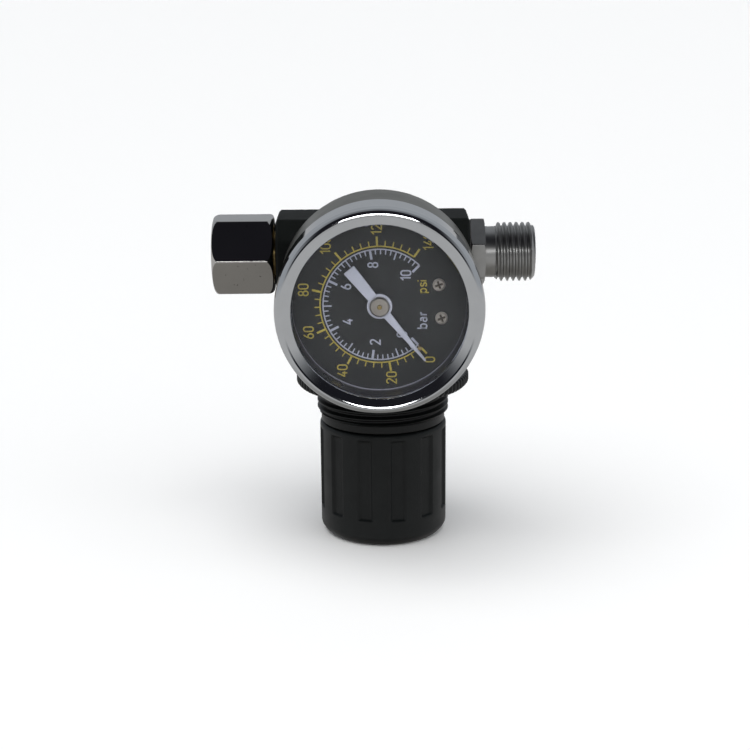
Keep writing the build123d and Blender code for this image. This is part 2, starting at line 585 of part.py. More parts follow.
save(gauge_case(), "gauge_case")
save(bezel(), "bezel")
save(lens(), "lens")
save(lens_gasket(), "lens_gasket")
save(dial(), "dial")
save(dial_screws(), "dial_screws")
save(stop_pin(), "stop_pin")
save(pointer(), "pointer")
save(pointer_hub(), "pointer_hub")
save(front_plate(), "front_plate")
save(back_plate(), "back_plate")
save(movement_pillars(), "movement_pillars")
save(movement_screws(), "movement_screws")
save(pinion(), "pinion")
save(sector_gear(), "sector_gear")
save(sector_arbor(), "sector_arbor")
save(link(), "link")
save(hairspring(), "hairspring")
save(bourdon_tube(), "bourdon_tube")
save(tube_end(), "tube_end")
save(gauge_socket(), "gauge_socket")
save(case_screws(), "case_screws")
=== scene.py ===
import math

import bmesh
import bpy
from mathutils import Matrix, Vector


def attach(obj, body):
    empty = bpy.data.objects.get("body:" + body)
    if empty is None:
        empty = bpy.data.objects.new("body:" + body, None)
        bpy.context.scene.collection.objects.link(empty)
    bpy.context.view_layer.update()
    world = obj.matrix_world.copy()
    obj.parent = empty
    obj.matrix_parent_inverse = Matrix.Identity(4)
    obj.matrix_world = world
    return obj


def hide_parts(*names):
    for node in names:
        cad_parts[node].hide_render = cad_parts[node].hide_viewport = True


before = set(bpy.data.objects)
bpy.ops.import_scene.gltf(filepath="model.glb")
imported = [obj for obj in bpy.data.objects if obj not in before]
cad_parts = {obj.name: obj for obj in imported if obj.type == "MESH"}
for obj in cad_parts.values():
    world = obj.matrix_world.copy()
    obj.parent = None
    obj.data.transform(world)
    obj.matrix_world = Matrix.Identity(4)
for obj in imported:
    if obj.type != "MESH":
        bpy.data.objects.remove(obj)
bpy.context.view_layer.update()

MM = 0.001
TAU = 2 * math.pi

# Places and main sizes, in mm.
PORT_Z = 65.0
GAUGE_X, GAUGE_Z = -0.66, 60.0
DIAL_Y = -30.9
POINTER_Y = -32.0
NUT_FLATS, NUT_LEFT, NUT_RIGHT = 16.4, -37.5, -23.8
NIPPLE_FLATS, NIPPLE_END = 13.5, 33.95
NIPPLE_THREAD_X, NIPPLE_THREAD_R, NIPPLE_ROOT_R, NIPPLE_PITCH = 25.1, 6.57, 5.76, 1.337
PANEL_THREAD_R, PANEL_ROOT_R, PANEL_PITCH = 14.96, 14.1, 1.5
RING_NUT_R, RING_NUT_LOW, RING_NUT_HIGH = 19.58, 35.0, 37.8
KNOB_R, KNOB_TOP = 14.45, 26.5
CASE_R, CASE_BACK_Y = 21.36, -12.6
BEZEL_R, BEZEL_BACK_Y, APERTURE_R = 21.47, -27.82, 17.83
LENS_FRONT_Y, LENS_BACK_Y = -37.93, -36.6
# Painted highlight: a pale band on the black lens sleeve next to the dial stands in for light and is not a
# real seam.
PAINTED_HIGHLIGHT_FROM_Y, PAINTED_HIGHLIGHT_FULL_Y, PAINTED_HIGHLIGHT_COLOUR = -32.2, -31.4, (0.50, 0.50, 0.62)


# ---- places: local x, y and height on an axis, to the part's frame in mm --------------------
def about_z(x, y, h):
    return x, y, h


def about_port(x, y, h):
    return h, x, PORT_Z + y


def about_gauge(x, y, h):
    return GAUGE_X + x, h, GAUGE_Z + y


def on_dial(u, v, w):
    """u to the right and v up on the dial's face, w towards the reader."""
    return GAUGE_X + u, DIAL_Y - w, GAUGE_Z + v


def polar(radius, degrees):
    a = math.radians(degrees)
    return radius * math.cos(a), radius * math.sin(a)


# ---- mesh building ---------------------------------------------------------------------------
def softened(points, radius=0.3, steps=4, closed=True):
    """Round each corner of a profile. A point may carry its own radius as a third number."""
    out, n = [], len(points)
    for i, point in enumerate(points):
        p = Vector(point[:2])
        own = point[2] if len(point) > 2 else radius
        at_end = not closed and i in (0, n - 1)
        a, b = Vector(points[i - 1][:2]) - p, Vector(points[(i + 1) % n][:2]) - p
        if at_end or own <= 0 or p.x <= 1e-6 or min(a.length, b.length) < 1e-6:
            out.append(tuple(p))
            continue
        half = a.angle(b) / 2
        reach = min(own / max(math.tan(half), 1e-3), 0.45 * a.length, 0.45 * b.length)
        start, end = p + a.normalized() * reach, p + b.normalized() * reach
        for k in range(steps + 1):
            t = k / steps
            q = start * (1 - t) ** 2 + p * 2 * t * (1 - t) + end * t ** 2
            out.append(tuple(q))
    return out


def smooth(low, high, value):
    t = min(max((value - low) / (high - low), 0.0), 1.0)
    return t * t * (3 - 2 * t)


def even_angles(columns):
    return [TAU * i / columns for i in range(columns)]


def spun(profile_at, place, angles, closed=True, shift=0):
    """Surface round an axis. profile_at(angle) gives (radius, height) points. shift joins the last
    column to the first one that many points further on, as a thread needs."""
    verts, faces = [], []
    for a in angles:
        column = profile_at(a)
        verts += [place(r * math.cos(a), r * math.sin(a), h) for r, h in column]
    rows, n = len(column), len(angles)
    for i in range(n):
        j = (i + 1) % n
        drop = shift if j == 0 else 0
        for k in range(rows if closed else rows - 1):
            k2 = (k + 1) % rows
            b, b2 = (min(k + drop, rows - 1), min(k2 + drop, rows - 1)) if drop else (k, k2)
            faces.append((i * rows + k, i * rows + k2, j * rows + b2, j * rows + b))
    return verts, faces


def lathe(points, place, columns=144, radius=0.3, closed=True):
    profile = softened(points, radius, closed=closed)
    return spun(lambda a: profile, place, even_angles(columns), closed)


def thread(root, crest, pitch, z0, z1, r0, r1, place, columns=120, slope=1.1, flatness=1.35):
    """Helical thread from z0 to z1 that starts and ends on plain circles of radius r0 and r1.
    flatness above 1 cuts the wave's crests and roots flat."""
    steps = 12
    turns = int((z1 - z0) / pitch) + 2

    def profile_at(angle):
        column = []
        for k in range(-steps, steps * turns + 1):
            z = min(max(z0 + pitch * (k / steps + angle / TAU), z0), z1)
            wave = 0.5 - 0.5 * math.cos(TAU * (z - z0) / pitch - angle)
            wave = min(max(0.5 + (wave - 0.5) * flatness, 0.0), 1.0)
            radius = min(root + (crest - root) * wave, r0 + (z - z0) * slope, r1 + (z1 - z) * slope)
            column.append((radius, z))
        return column

    return spun(profile_at, place, even_angles(columns), closed=False, shift=steps)


def hexagon_radius(angle, flat, turn, rounding):
    """Polar radius of a hexagon with rounded corners. flat is half its width across flats."""
    sector = math.radians(60)
    off = abs((angle - turn + sector / 2) % sector - sector / 2)      # from the nearest flat's middle
    to_corner = sector / 2 - off
    centre = (flat - rounding) / math.cos(sector / 2)
    tangent = math.atan2(rounding * math.sin(sector / 2), centre + rounding * math.cos(sector / 2))
    if to_corner < tangent:
        s = centre * math.sin(to_corner)
        return centre * math.cos(to_corner) + math.sqrt(max(rounding ** 2 - s ** 2, 0.0))
    return flat / math.cos(off)


def hexagon_nut(across, turn_degrees, h0, h1, r_end, dome, bore, place, rounding, rim=0.3):
    """Hexagon ring whose ends are turned down to r_end over the length dome, with a plain bore. Its
    rims are broken by a chamfer of the size rim."""
    flat, turn = across / 2, math.radians(turn_degrees)
    full = flat / math.cos(math.radians(30))
    angles = []
    for corner in range(6):
        base = turn + math.radians(30 + 60 * corner)
        angles += [base + math.radians(d) for d in (-1.6, -0.8, 0, 0.8, 1.6)]
        angles += [base + math.radians(d) for d in range(4, 57, 2)]
    angles.sort()

    def profile_at(angle):
        radius = hexagon_radius(angle, flat, turn, rounding)
        reach = math.asin(min((radius - r_end) / (full - r_end), 1.0))
        end = []
        for k in range(7):
            t = reach * k / 6
            end.append((r_end + (full - r_end) * math.sin(t), dome * (1 - math.cos(t))))
        column = [(bore + rim, h0), (r_end - rim, h0)] + [(r, h0 + d) for r, d in end]
        column += [(r, h1 - d) for r, d in reversed(end)] + [(r_end - rim, h1), (bore + rim, h1)]
        return column + [(bore, h1 - rim), (bore, h0 + rim)]

    return spun(profile_at, place, angles)


def flat_piece(outline, y_front, thickness, turn=0.0):
    """Closed (u, v) outline on the dial, extruded away from the reader."""
    c, s = math.cos(math.radians(turn)), math.sin(math.radians(turn))
    n = len(outline)
    verts = []
    for depth in (y_front, y_front + thickness):
        verts += [(GAUGE_X + u * c - v * s, depth, GAUGE_Z + u * s + v * c) for u, v in outline]
    faces = [tuple(range(n)), tuple(range(2 * n - 1, n - 1, -1))]
    faces += [(i, i + n, (i + 1) % n + n, (i + 1) % n) for i in range(n)]
    return verts, faces


def ribbon(points, width, closed=False, lift=0.04, base=0.0):
    """Raised printed line of the given width along (u, v) points on the dial."""
    n = len(points)
    pts = [Vector(p) for p in points]
    verts, faces = [], []
    for i, p in enumerate(pts):
        before = pts[i - 1] if closed or i > 0 else None
        after = pts[(i + 1) % n] if closed or i < n - 1 else None
        d1 = (p - before).normalized() if before is not None else (after - p).normalized()
        d2 = (after - p).normalized() if after is not None else d1
        along = (d1 + d2).normalized() if (d1 + d2).length > 1e-6 else d1
        side = Vector((-along.y, along.x))
        stretch = min(1 / max(side.dot(Vector((-d1.y, d1.x))), 0.5), 2.0)
        for q, w in ((side, lift), (side, base), (-side, base), (-side, lift)):
            spot = p + q * (width / 2 * stretch)
            verts.append(on_dial(spot.x, spot.y, w))
    for i in range(n if closed else n - 1):
        j = (i + 1) % n
        for k in range(4):
            faces.append((4 * i + k, 4 * i + (k + 1) % 4, 4 * j + (k + 1) % 4, 4 * j + k))
    if not closed:
        faces += [(0, 1, 2, 3), (4 * n - 1, 4 * n - 2, 4 * n - 3, 4 * n - 4)]
    return verts, faces


def solid(name, parts, body, slot, finish=None, replaces=(), crease=32, bevel=0.0):
    """One object from (vertices, faces) parts in mm, riding on a CAD body. Its finish is the one
    named like its slot, unless another is given."""
    bm = bmesh.new()
    for verts, faces in parts:
        made = [bm.verts.new(Vector(v) * MM) for v in verts]
        for f in faces:
            loop = []
            for i in f:
                if made[i] not in loop:
                    loop.append(made[i])
            if len(loop) > 2:
                bm.faces.new(loop)
        bmesh.ops.remove_doubles(bm, verts=made, dist=1e-6)
    bmesh.ops.dissolve_degenerate(bm, edges=bm.edges, dist=1e-7)
    bmesh.ops.recalc_face_normals(bm, faces=bm.faces)
    if bevel:
        limit = math.radians(crease)
        edges = [e for e in bm.edges if e.is_manifold and e.calc_face_angle(0) > limit]
        bmesh.ops.bevel(bm, geom=edges, offset=bevel * MM, segments=2, profile=0.6,
                        affect="EDGES", clamp_overlap=True)
    mesh = bpy.data.meshes.new(name)
    bm.to_mesh(mesh)
    bm.free()
    mesh.shade_smooth()
    mesh.set_sharp_from_angle(angle=math.radians(crease))
    obj = bpy.data.objects.new(name, mesh)
    bpy.context.scene.collection.objects.link(obj)
    mesh.materials.append(MATERIALS[finish or slot])
    weighted = obj.modifiers.new("Weighted", "WEIGHTED_NORMAL")
    weighted.keep_sharp = True
    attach(obj, body)
    if replaces:
        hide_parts(*replaces)
    return obj


# ---- materials -------------------------------------------------------------------------------
def set_range(node, low, high, out_low, out_high):
    for key, number in zip(("From Min", "From Max", "To Min", "To Max"), (low, high, out_low, out_high)):
        node.inputs[key].default_value = number


class Finish:
    """A Principled material with noise in its colour and roughness, and a fine bump."""

    def __init__(self, name, colour, rough, metal=0.0, alpha=1.0, specular=0.5):
        self.material = bpy.data.materials.new(name)
        self.material.use_nodes = True
        self.nodes, self.links = self.material.node_tree.nodes, self.material.node_tree.links
        self.shader = self.nodes["Principled BSDF"]
        self.colour, self.rough = colour, rough
        self.set("Base Color", (*colour, 1))
        self.set("Metallic", metal)
        self.set("Roughness", rough)
        self.set("Alpha", alpha)
        self.set("Specular IOR Level", specular)
        self.coords = self.nodes.new("ShaderNodeTexCoord").outputs["Object"]
        self.normal = None

    def set(self, socket, value):
        self.shader.inputs[socket].default_value = value

    def node(self, kind, **inputs):
        made = self.nodes.new(kind)
        for key, value in inputs.items():
            made.inputs[key.replace("_", " ")].default_value = value
        return made

    def noise(self, scale, detail=3.0, coords=None, stretch=(1, 1, 1)):
        mapping = self.nodes.new("ShaderNodeMapping")
        mapping.inputs["Scale"].default_value = stretch
        self.links.new(coords or self.coords, mapping.inputs["Vector"])
        made = self.node("ShaderNodeTexNoise", Scale=scale, Detail=detail, Roughness=0.6)
        self.links.new(mapping.outputs["Vector"], made.inputs["Vector"])
        return made.outputs["Fac"]

    def between(self, value, low, high, out_low, out_high):
        made = self.nodes.new("ShaderNodeMapRange")
        set_range(made, low, high, out_low, out_high)
        self.links.new(value, made.inputs["Value"])
        return made.outputs["Result"]

    def mottle(self, value, other, low=0.35, high=0.65):
        """Blend the present colour towards another where the noise value is high."""
        mix = self.nodes.new("ShaderNodeMix")
        mix.data_type = "RGBA"
        colour_in = [s for s in mix.inputs if s.type == "RGBA"]
        if self.shader.inputs["Base Color"].links:
            self.links.new(self.shader.inputs["Base Color"].links[0].from_socket, colour_in[0])
        else:
            colour_in[0].default_value = (*self.colour, 1)
        colour_in[1].default_value = (*other, 1)
        self.links.new(self.between(value, low, high, 0, 1), mix.inputs["Factor"])
        out = [s for s in mix.outputs if s.type == "RGBA"][0]
        self.links.new(out, self.shader.inputs["Base Color"])
        return self

    def uneven(self, value, spread):
        low, high = max(self.rough - spread, 0.02), self.rough + spread
        self.links.new(self.between(value, 0.3, 0.7, low, high), self.shader.inputs["Roughness"])
        return self

    def bump(self, value, distance, strength=1.0):
        made = self.node("ShaderNodeBump", Strength=strength, Distance=distance * MM)
        self.links.new(value, made.inputs["Height"])
        if self.normal is not None:
            self.links.new(self.normal, made.inputs["Normal"])
        self.normal = made.outputs["Normal"]
        self.links.new(self.normal, self.shader.inputs["Normal"])
        return self

    def turned_coords(self, axis, centre):
        """Distance from an axis and height along it, so that noise on them makes lathe marks."""
        shifted = self.nodes.new("ShaderNodeVectorMath")
        shifted.operation = "SUBTRACT"
        shifted.inputs[1].default_value = [c * MM for c in centre]
        self.links.new(self.coords, shifted.inputs[0])
        split = self.nodes.new("ShaderNodeSeparateXYZ")
        self.links.new(shifted.outputs[0], split.inputs[0])
        across = self.nodes.new("ShaderNodeCombineXYZ")
        for name in "XYZ":
            if name != axis:
                self.links.new(split.outputs[name], across.inputs[name])
        length = self.nodes.new("ShaderNodeVectorMath")
        length.operation = "LENGTH"
        self.links.new(across.outputs[0], length.inputs[0])
        joined = self.nodes.new("ShaderNodeCombineXYZ")
        self.links.new(length.outputs["Value"], joined.inputs["X"])
        self.links.new(split.outputs[axis], joined.inputs["Y"])
        return joined.outputs[0]


def plain(name, colour, rough, metal=0.0, shade=0.8, grain=900, depth=0.004, spread=0.06, **more):
    """The common finish: clouded colour, uneven roughness and a fine grain."""
    finish = Finish(name, colour, rough, metal, **more)
    finish.mottle(finish.noise(grain / 4), tuple(c * shade for c in colour))
    finish.uneven(finish.noise(grain / 9), spread)
    return finish.bump(finish.noise(grain, 5), depth)


def worn_edges(finish, colour, amount=0.55):
    """Paint rubbed a little lighter where the mesh is most convex."""
    point = finish.nodes.new("ShaderNodeNewGeometry").outputs["Pointiness"]
    rub = finish.between(point, 0.53, 0.62, 0, amount)
    times = finish.nodes.new("ShaderNodeMath")
    times.operation = "MULTIPLY"
    finish.links.new(rub, times.inputs[0])
    finish.links.new(finish.noise(420), times.inputs[1])
    return finish.mottle(times.outputs[0], colour, 0, 1)


def pitted(finish, colour, scale=520, depth=0.01):
    """Small scattered pits in plating."""
    pits = finish.between(finish.noise(scale, 2), 0.685, 0.73, 0, 1)
    finish.mottle(pits, colour, 0, 1)
    return finish.bump(pits, -depth)


def turned_metal(name, colour, rough, axis, centre, lines=5200, depth=0.0016, **more):
    finish = plain(name, colour, rough, 1.0, grain=700, depth=0.001, **more)
    marks = finish.noise(lines, 2, coords=finish.turned_coords(axis, centre))
    return finish.bump(marks, depth)


def sleeve_finish():
    """Black sleeve with a painted highlight: a pale band painted all round where it meets the dial,
    standing in for the light on its edge there.
    """
    finish = plain("black_gasket", (0.020, 0.020, 0.027), 0.30, grain=1400, depth=0.003)
    split = finish.nodes.new("ShaderNodeSeparateXYZ")
    finish.links.new(finish.coords, split.inputs[0])
    # Painted highlight: pale colour painted on the sleeve near the dial.
    painted_highlight_near_dial = finish.between(split.outputs["Y"], PAINTED_HIGHLIGHT_FROM_Y * MM, PAINTED_HIGHLIGHT_FULL_Y * MM, 0, 1)
    return finish.mottle(painted_highlight_near_dial, PAINTED_HIGHLIGHT_COLOUR, 0, 1)


GAUGE_AXIS = (GAUGE_X, 0, GAUGE_Z)
PORT_AXIS = (0, 0, PORT_Z)

FINISHES = {
    "black_body": worn_edges(plain("black_body", (0.0040, 0.0049, 0.0045), 0.55, grain=650, depth=0.010,
                                   specular=0.1), (0.0075, 0.0085, 0.008)),
    "black_bonnet": plain("black_bonnet", (0.0028, 0.0036, 0.0034), 0.33, grain=900, depth=0.004,
                          specular=0.4),
    "knob_plastic": worn_edges(plain("knob_plastic", (0.0044, 0.0058, 0.0058), 0.44, grain=1500,
                                     depth=0.005, specular=0.4), (0.012, 0.0135, 0.014)),
    "chrome_plate": pitted(plain("chrome_plate", (0.78, 0.765, 0.745), 0.07, 1.0, grain=260, depth=0.0035,
                                 spread=0.03, shade=0.92), (0.40, 0.38, 0.36), scale=1400),
    "nickel_plate": turned_metal("nickel_plate", (0.62, 0.62, 0.61), 0.33, "X", PORT_AXIS),
    "chrome_bezel": turned_metal("chrome_bezel", (0.80, 0.82, 0.84), 0.06, "Y", GAUGE_AXIS, lines=3800,
                                 depth=0.0006, shade=0.95, spread=0.02),
    "case_steel": turned_metal("case_steel", (0.305, 0.298, 0.262), 0.34, "Y", GAUGE_AXIS, lines=2600,
                               depth=0.002),
    "zinc_steel": plain("zinc_steel", (0.62, 0.62, 0.60), 0.3, 1.0, grain=1200, depth=0.003),
    "spring_steel": plain("spring_steel", (0.42, 0.42, 0.43), 0.32, 1.0, grain=1600, depth=0.003),
    "brass": turned_metal("brass", (0.80, 0.61, 0.28), 0.22, "X", PORT_AXIS),
    "bronze_tube": plain("bronze_tube", (0.62, 0.40, 0.22), 0.3, 1.0, grain=1000, depth=0.003),
    "seal_rubber": plain("seal_rubber", (0.012, 0.012, 0.012), 0.6, grain=1800, depth=0.006),
    "seal_washer": plain("seal_washer", (0.030, 0.029, 0.028), 0.55, grain=1500, depth=0.006),
    "black_gasket": sleeve_finish(),
    "lens_glass": plain("lens_glass", (0.12, 0.125, 0.13), 0.02, grain=120, depth=0.0004, spread=0.012,
                        alpha=0.11),
    "dial_paint": plain("dial_paint", (0.027, 0.029, 0.031), 0.55, grain=1900, depth=0.004),
    "pointer_paint": plain("pointer_paint", (0.64, 0.67, 0.80), 0.42, grain=1500, depth=0.003, shade=0.93),
    "print_yellow": plain("print_yellow", (0.74, 0.60, 0.10), 0.5, grain=2600, depth=0.004, shade=0.72),
    "print_white": plain("print_white", (0.60, 0.63, 0.78), 0.5, grain=2600, depth=0.004, shade=0.85),
    "hub_metal": turned_metal("hub_metal", (0.93, 0.87, 0.79), 0.38, "Y", GAUGE_AXIS, lines=5200),
    "screw_metal": plain("screw_metal", (0.90, 0.84, 0.77), 0.34, 0.7, grain=1800, depth=0.004),
    # Painted shade: a dark colour for the sheets laid in the screws' cross recesses.
    "screw_recess": plain("screw_recess", (0.15, 0.125, 0.10), 0.45, 0.5, grain=2400, depth=0.004),
}
MATERIALS = {name: finish.material for name, finish in FINISHES.items()}

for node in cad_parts.values():
    for place_in_mesh in node.material_slots:
        base = place_in_mesh.material.name.split(".")[0]
        place_in_mesh.material = MATERIALS[base]
    node.data.shade_smooth()
    node.data.set_sharp_from_angle(angle=math.radians(28))


# ---- ports -----------------------------------------------------------------------------------
swivel = hexagon_nut(NUT_FLATS, 30.0, NUT_LEFT, NUT_RIGHT, r_end=7.0, dome=1.75, bore=6.6,
                     place=about_port, rounding=0.55)
swivel_bore = lathe([(6.62, -37.2), (5.75, -36.9), (5.75, -31.4), (6.2, -31.2), (6.2, -26.6), (5.1, -26.4),
                     (5.1, -24.1), (6.62, -24.1)], about_port, 96, 0.1)
solid("swivel_nut_shell", [swivel, swivel_bore], "inlet_nut", "chrome_plate", replaces=["swivel_nut"],
      crease=26)

NECK_R, NIPPLE_TIP_R = 5.67, 5.6
nipple_thread = thread(NIPPLE_ROOT_R, NIPPLE_THREAD_R, NIPPLE_PITCH, NIPPLE_THREAD_X, NIPPLE_END,
                       NECK_R, NIPPLE_TIP_R, about_port)
nipple_tube = lathe([(NIPPLE_TIP_R, NIPPLE_END, 0), (5.3, NIPPLE_END, 0.1), (4.0, 31.6), (4.0, 10.2, 0.1),
                     (6.1, 10.2, 0.1), (6.55, 10.7, 0.1), (6.55, 19.64, 0.1), (NECK_R, 19.64, 0.1),
                     (NECK_R, NIPPLE_THREAD_X, 0)], about_port, 120, closed=False)
nipple_hexagon = hexagon_nut(NIPPLE_FLATS, 8.0, 19.66, 22.87, r_end=6.6, dome=0.45, bore=5.6,
                             place=about_port, rounding=0.35)
solid("outlet_nipple_shell", [nipple_thread, nipple_tube, nipple_hexagon], "regulator", "nickel_plate",
      replaces=["outlet_nipple"], crease=30)


# ---- bonnet, panel nut and knob ----------------------------------------------------------------
THREAD_LOW, BONNET_TOP, COLLAR_R = 28.4, 38.3, 14.08
bonnet_thread = thread(PANEL_ROOT_R, PANEL_THREAD_R, PANEL_PITCH, THREAD_LOW, BONNET_TOP,
                       COLLAR_R, PANEL_ROOT_R, about_z, columns=180, slope=1.0)
bonnet_tube = lathe([(PANEL_ROOT_R, BONNET_TOP, 0), (12.0, BONNET_TOP), (12.0, 34.5, 0.1), (9.6, 34.5, 0.2),
                     (9.6, 12.5), (3.56, 12.5, 0.1), (3.56, 9.5, 0.1), (11.5, 9.5), (12.0, 10.0),
                     (12.0, 21.3, 0.1), (10.8, 21.3, 0.1), (10.8, 22.7, 0.1), (12.0, 22.7, 0.1),
                     (12.0, 26.7, 0.15), (14.1, 26.7, 0.3), (COLLAR_R, THREAD_LOW, 0)],
                    about_z, 180, 0.2, closed=False)
solid("bonnet_shell", [bonnet_thread, bonnet_tube], "regulator", "black_bonnet", replaces=["bonnet"],
      crease=40)

NUT_KNURLS, KNURL_DEPTH, KNURL_FROM_R, KNURL_RISE = 84, 0.36, 18.55, 0.75
NUT_PROFILE = softened([(15.05, 35.4, 0.05), (15.45, RING_NUT_LOW, 0.1), (18.35, RING_NUT_LOW, 0.2),
                        (19.0, 35.25, 0.3), (RING_NUT_R, 35.9, 0.35), (RING_NUT_R, 37.35, 0.3),
                        (19.1, RING_NUT_HIGH, 0.2), (15.05, RING_NUT_HIGH, 0.1)], steps=5)


def knurled_at(angle):
    """Panel nut's section: rounded ribs on the rim that run out on the lower slope."""
    groove = (0.5 - 0.5 * math.cos(NUT_KNURLS * angle)) ** 1.6
    column = []
    for r, h in NUT_PROFILE:
        share = min(max((r - KNURL_FROM_R) / KNURL_RISE, 0.0), 1.0)
        column.append((r - KNURL_DEPTH * groove * share, h))
    return column


solid("ring_nut_shell", [spun(knurled_at, about_z, even_angles(NUT_KNURLS * 8))], "panel_nut",
      "black_bonnet", replaces=["ring_nut"], crease=50)

KNOB_RIBS, RIB_AT_DEG, GROOVE_HALF_DEG, GROOVE_DEPTH = 12, -92.0, 6.9, 0.6
GROOVE_LOW, GROOVE_HIGH = 6.1, 25.3


def groove_share(angle, h):
    """How deep the knob's surface lies in a groove at this angle and height, from 0 to 1."""
    pitch = 360.0 / KNOB_RIBS
    off = (math.degrees(angle) - RIB_AT_DEG) % pitch - pitch / 2
    across = 1 - smooth(GROOVE_HALF_DEG - 2.4, GROOVE_HALF_DEG + 0.8, abs(off))
    along = smooth(GROOVE_LOW, GROOVE_LOW + 0.45, h) * (1 - smooth(GROOVE_HIGH - 0.8, GROOVE_HIGH, h))
    return across * along


KNOB_INSIDE = softened([(13.7, KNOB_TOP, 0.1), (12.35, KNOB_TOP, 0.3), (12.35, 2.6, 0.4), (5.6, 2.6, 0.3),
                        (5.6, 8.2, 0.3), (3.75, 8.2, 0.2), (3.75, 1.6, 0.1), (0, 1.6, 0)], closed=False)
KNOB_OUTSIDE = softened([(0, 0, 0), (12.9, 0, 2.2), (KNOB_R, 1.9, 2.2), (KNOB_R, 5.9, 0)],
                        steps=7, closed=False)
KNOB_OUTSIDE += [(KNOB_R, z) for z in (6.1, 6.2, 6.3, 6.4, 6.5, 6.6)]
KNOB_OUTSIDE += [(KNOB_R, 6.6 + 1.99 * i) for i in range(1, 10)]
KNOB_OUTSIDE += [(KNOB_R, z) for z in (24.7, 24.85, 25.0, 25.15, 25.3, 25.7)]
KNOB_OUTSIDE += [(KNOB_R - 0.06, 26.05), (KNOB_R - 0.28, 26.33)]
KNOB_PROFILE = KNOB_OUTSIDE + KNOB_INSIDE


def knob_at(angle):
    column = []
    for r, h in KNOB_PROFILE:
        cut = GROOVE_DEPTH * groove_share(angle, h) if r == KNOB_R else 0.0
        column.append((r - cut, h))
    return column


knob_angles = []
for rib in range(KNOB_RIBS):
    start = RIB_AT_DEG + 360.0 / KNOB_RIBS * rib
    stops = [0, 2.5, 5, 6.6, 7.2, 7.7, 8.2, 8.7, 9.2, 9.7, 10.2, 10.8, 12.2, 13.6]
    knob_angles += [math.radians(start + s) for s in stops + [15] + [30 - s for s in reversed(stops[1:])]]
solid("knob_shell", [spun(knob_at, about_z, knob_angles)], "knob", "knob_plastic", replaces=["knob"],
      crease=60)


# ---- gauge -----------------------------------------------------------------------------------
gauge_case = lathe([(5.7, CASE_BACK_Y, 0.1), (20.2, CASE_BACK_Y, 0.9), (CASE_R, -13.7, 0.9),
                    (CASE_R, -27.75, 0.1), (20.9, -27.85, 0.1), (20.9, -33.0, 0.1), (20.42, -33.0, 0.1),
                    (20.42, -13.6, 0.5), (5.7, -13.6, 0.1)], about_gauge, 200)
solid("gauge_case_shell", [gauge_case], "regulator", "case_steel", replaces=["gauge_case"])

# The bezel's outer side rounds over to a narrow crest, and the lip falls from there to the lens.
bezel = lathe([(20.95, BEZEL_BACK_Y, 0.05), (BEZEL_R, BEZEL_BACK_Y, 0.25), (BEZEL_R, -36.7, 1.5),
               (21.22, -38.1, 0.6), (20.85, -38.62, 0.25), (20.35, -38.83, 0.15), (20.05, -38.895, 0.08),
               (19.7, -38.785, 0.12), (18.03, -38.44, 0.05), (APERTURE_R, -38.06, 0.03),
               (APERTURE_R, -37.97, 0.05), (20.95, -37.95, 0.05)], about_gauge, 240)
solid("bezel_shell", [bezel], "regulator", "chrome_bezel", replaces=["bezel"], crease=55)

lens_disc = lathe([(0, LENS_FRONT_Y, 0), (20.85, LENS_FRONT_Y, 0.15), (20.85, LENS_BACK_Y, 0.15),
                   (0, LENS_BACK_Y, 0)], about_gauge, 160)
solid("lens_disc", [lens_disc], "regulator", "lens_glass", replaces=["lens"])
sleeve = lathe([(18.0, -31.0, 0.05), (20.35, -31.0, 0.05), (20.35, -33.05, 0.05), (20.88, -33.05, 0.05),
                (20.88, -36.58, 0.1), (18.0, -36.58, 0.3)], about_gauge, 160)
solid("lens_gasket_sleeve", [sleeve], "regulator", "black_gasket", replaces=["lens_gasket"])
dial_plate = lathe([(1.7, DIAL_Y, 0.05), (19.95, DIAL_Y, 0.12), (19.95, -30.4, 0.05), (1.7, -30.4, 0.05)],
                   about_gauge, 160)
solid("dial_plate", [dial_plate], "regulator", "dial_paint", replaces=["dial"])

# Scales: bar inside, psi outside. The scale runs clockwise from lower right to upper right.
# The zero marks stand a little into the scale, as on a dial with a stop pin.
SCALE_ZERO_DEG, DEG_PER_BAR, PSI_PER_BAR = -43.4, 27.16, 14.504
ZERO_MARK_DEG = -47.0
BAR_R, PSI_R = 11.63, 12.25
LINE, LONG_TICK = 0.26, 2.0


def bar_angle(bar):
    return SCALE_ZERO_DEG - DEG_PER_BAR * bar


def arc(radius, start, end, steps):
    return [polar(radius, start + (end - start) * i / steps) for i in range(steps + 1)]


def loop(cx, cy, rx, ry, steps=16):
    angles = [TAU * i / steps for i in range(steps)]
    return [(cx + rx * math.cos(a), cy + ry * math.sin(a)) for a in angles]


def bend(cx, cy, rx, ry, start, end, steps=9):
    points = []
    for i in range(steps + 1):
        a = math.radians(start + (end - start) * i / steps)
        points.append((cx + rx * math.cos(a), cy + ry * math.sin(a)))
    return points


